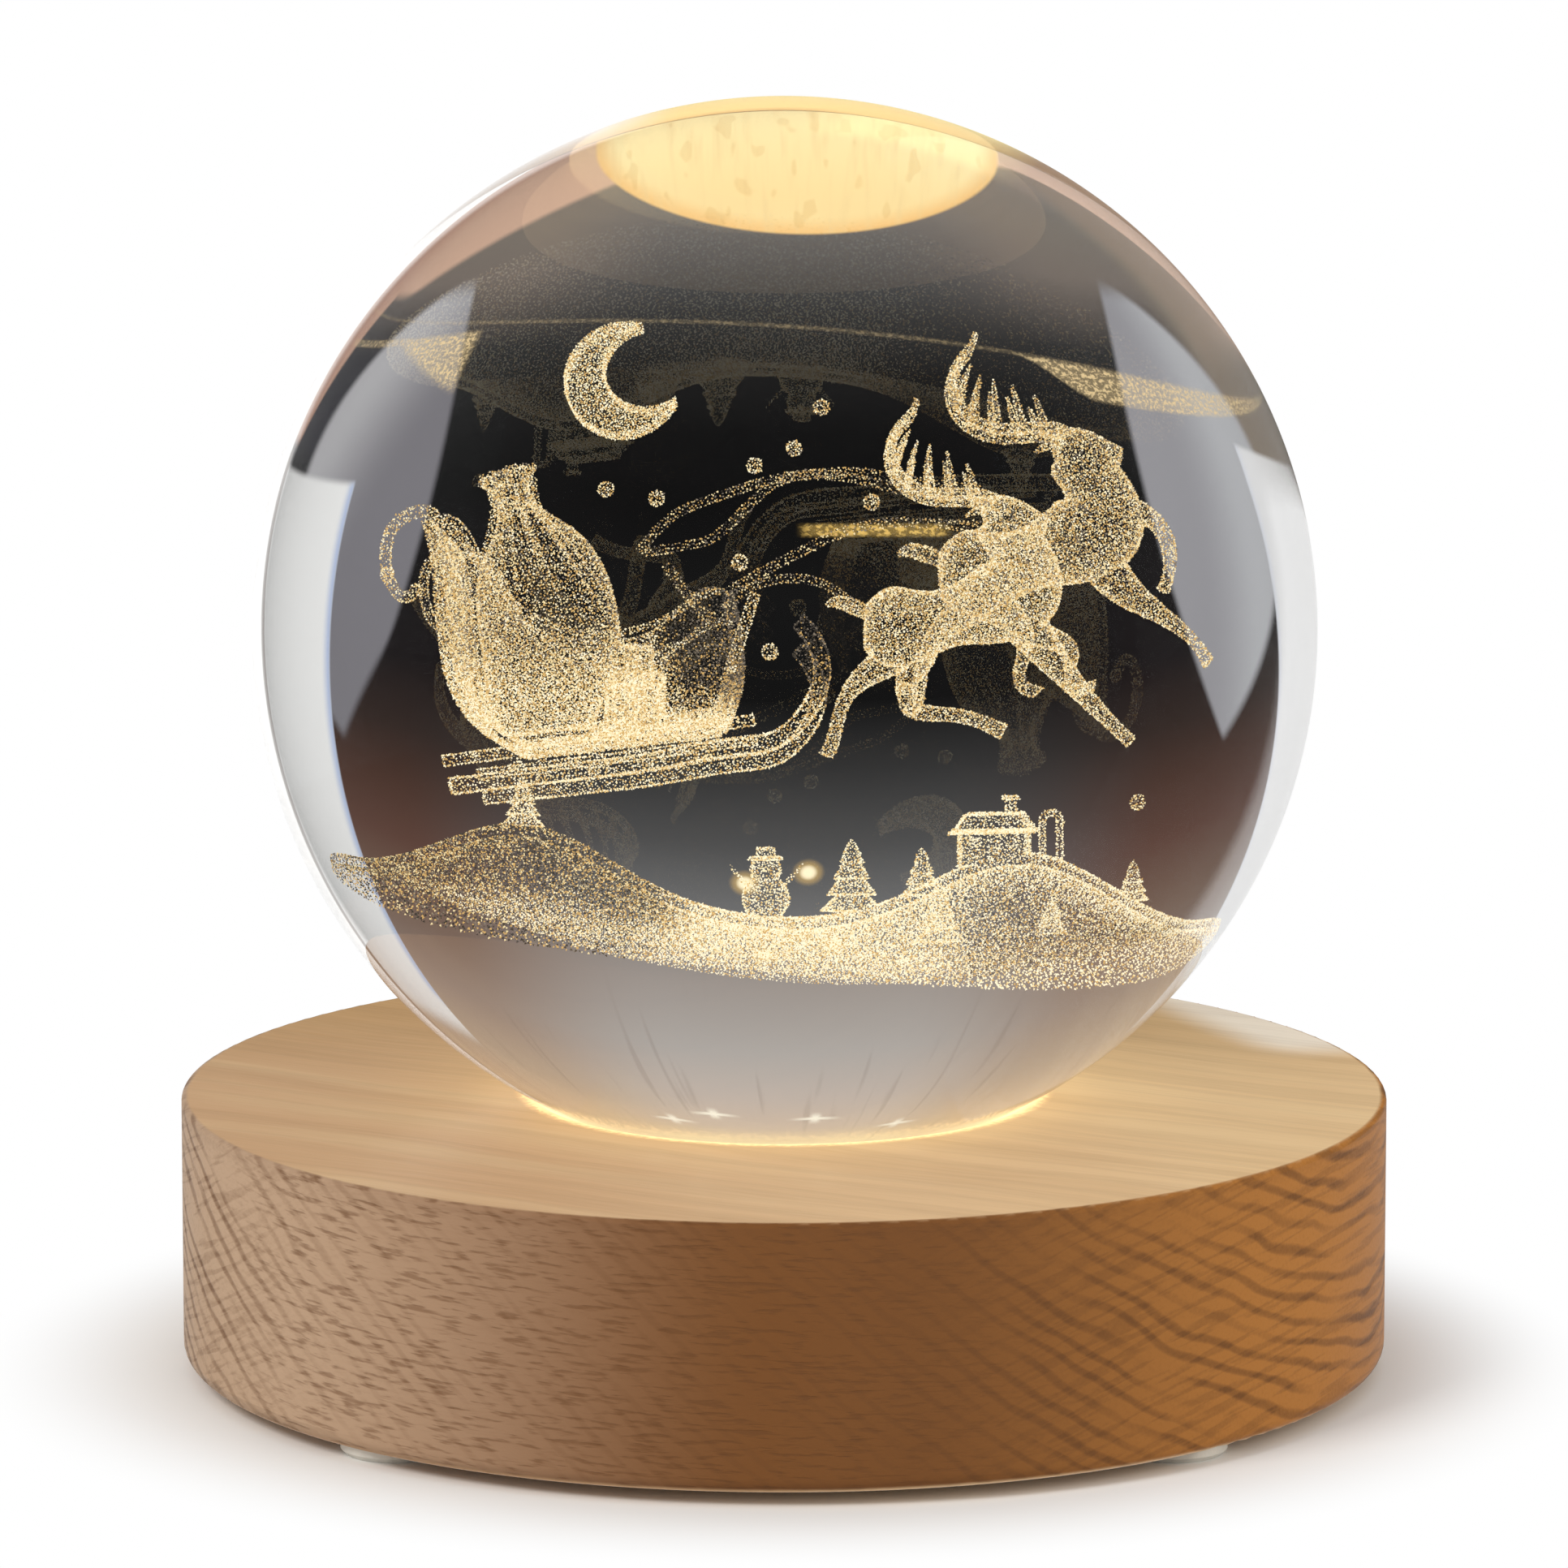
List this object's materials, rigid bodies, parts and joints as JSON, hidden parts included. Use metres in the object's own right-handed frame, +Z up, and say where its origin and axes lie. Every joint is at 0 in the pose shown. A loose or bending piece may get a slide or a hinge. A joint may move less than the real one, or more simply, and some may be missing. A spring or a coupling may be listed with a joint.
{
  "type": "crystal ball night light",
  "caption": "Solid glass ball with an engraved winter scene, lit from below by a round wooden base with a power inlet and a push button.",
  "frame": {"origin": "centre of the underside, on the surface that the foot pads stand on", "axes": "+Z up along the axis of the base and ball, -Y towards the front, +Y towards the inlet and button"},
  "size_m": [0.091, 0.091, 0.0962],
  "materials": {
    "crystal": "polished clear optical glass",
    "cracked_glass": "clear glass made white by fine laser cracks",
    "beech": "turned beech, satin clear lacquer",
    "clear_plastic": "clear moulded acrylic",
    "white_plastic": "white moulded reflector",
    "white_board": "white solder mask",
    "lamp_package": "white ceramic package",
    "phosphor": "warm white phosphor",
    "resistor": "black film",
    "bright_steel": "zinc plated",
    "header_plastic": "natural nylon",
    "red_wire": "PVC insulation",
    "black_wire": "PVC insulation",
    "green_board": "green solder mask",
    "chip_plastic": "moulded epoxy",
    "capacitor": "aluminium can",
    "socket_steel": "drawn sleeve",
    "tongue_plastic": "black moulding",
    "gold_contact": "gold plated",
    "black_plastic": "fine spark texture",
    "switch_plastic": "black moulding",
    "plunger_plastic": "natural acetal",
    "spring_steel": "spring wire",
    "button_plastic": "smooth black moulding",
    "cover_plastic": "fine textured black moulding",
    "silicone": "soft silicone"
  },
  "bodies": {
    "base": {"wood_base": "beech", "light_window": "clear_plastic", "reflector": "white_plastic", "led_board": "white_board", "led_packages": "lamp_package", "led_phosphors": "phosphor", "led_resistors": "resistor", "led_board_screws": "bright_steel", "led_header": "header_plastic", "wire_red": "red_wire", "wire_black": "black_wire", "bottom_cover": "cover_plastic", "cover_screws": "bright_steel", "foot_pads": "silicone", "rear_housing": "black_plastic", "control_board": "green_board", "control_board_screws": "bright_steel", "control_chip": "chip_plastic", "control_capacitors": "capacitor", "control_header": "header_plastic", "socket_shell": "socket_steel", "socket_tongue": "tongue_plastic", "socket_contacts": "gold_contact", "switch_body": "switch_plastic", "switch_spring": "spring_steel", "switch_terminals": "bright_steel"},
    "ball": {"crystal_ball": "crystal", "engraved_landscape": "cracked_glass", "engraved_moon": "cracked_glass", "engraved_snow": "cracked_glass", "engraved_sleigh": "cracked_glass", "engraved_stags": "cracked_glass"},
    "button": {"button_cap": "button_plastic", "switch_plunger": "plunger_plastic"}
  },
  "joints": [
    {"name": "ball_turn", "type": "hinge", "parent": "base", "child": "ball", "pos_m": [0, 0, 0.0562], "axis": [0, 0, 1], "continuous": true},
    {"name": "button_press", "type": "slide", "parent": "base", "child": "button", "axis": [0, -1, 0], "range_m": [0, 0.001], "stiffness_N_per_m": 800, "springref_m": -0.001, "deforming": ["switch_spring"]}
  ]
}
